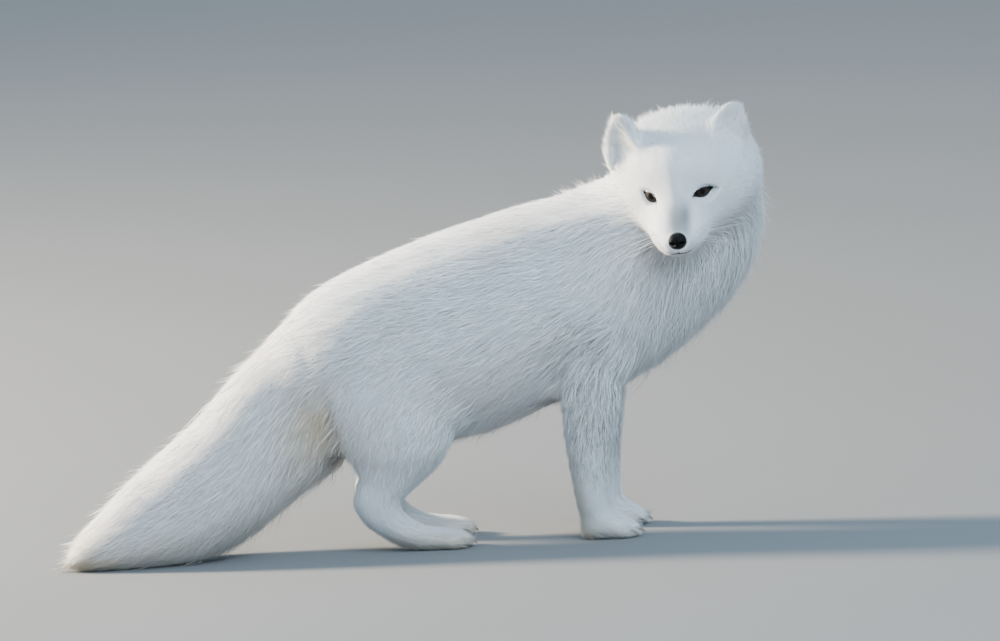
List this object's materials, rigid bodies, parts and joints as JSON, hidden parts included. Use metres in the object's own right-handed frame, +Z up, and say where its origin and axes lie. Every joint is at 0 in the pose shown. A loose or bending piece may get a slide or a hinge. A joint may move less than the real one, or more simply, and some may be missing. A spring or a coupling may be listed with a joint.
{
  "type": "arctic fox",
  "caption": "Life-size still model of an arctic fox in white winter coat, standing low behind with its brush on the ground and its head turned to look over its right side.",
  "frame": {"origin": "on the floor, under the middle of the whole animal's bounding box", "axes": "+X the way the trunk points, from the brush to the breast; +Y the fox's left; +Z up. The head is turned to look along -Y."},
  "size_m": [0.684, 0.2132, 0.411],
  "materials": {
    "fur": "matt white winter fur, faintly cream, with a few grey guard hairs on the shoulder",
    "eye": "wet gloss, amber-brown iris with a dark pupil",
    "nose": "damp black leather",
    "claw": "dark horn, satin"
  },
  "bodies": {
    "root": {"trunk": "fur", "neck": "fur", "head": "fur", "tail": "fur", "leg_front_left": "fur", "leg_front_right": "fur", "leg_hind_left": "fur", "leg_hind_right": "fur", "ear_left": "fur", "ear_right": "fur", "eye_left": "eye", "eye_right": "eye", "nose": "nose", "claw_front_left_1": "claw", "claw_front_left_2": "claw", "claw_front_left_3": "claw", "claw_front_left_4": "claw", "claw_front_right_1": "claw", "claw_front_right_2": "claw", "claw_front_right_3": "claw", "claw_front_right_4": "claw", "claw_hind_left_1": "claw", "claw_hind_left_2": "claw", "claw_hind_left_3": "claw", "claw_hind_left_4": "claw", "claw_hind_right_1": "claw", "claw_hind_right_2": "claw", "claw_hind_right_3": "claw", "claw_hind_right_4": "claw"}
  },
  "joints": []
}
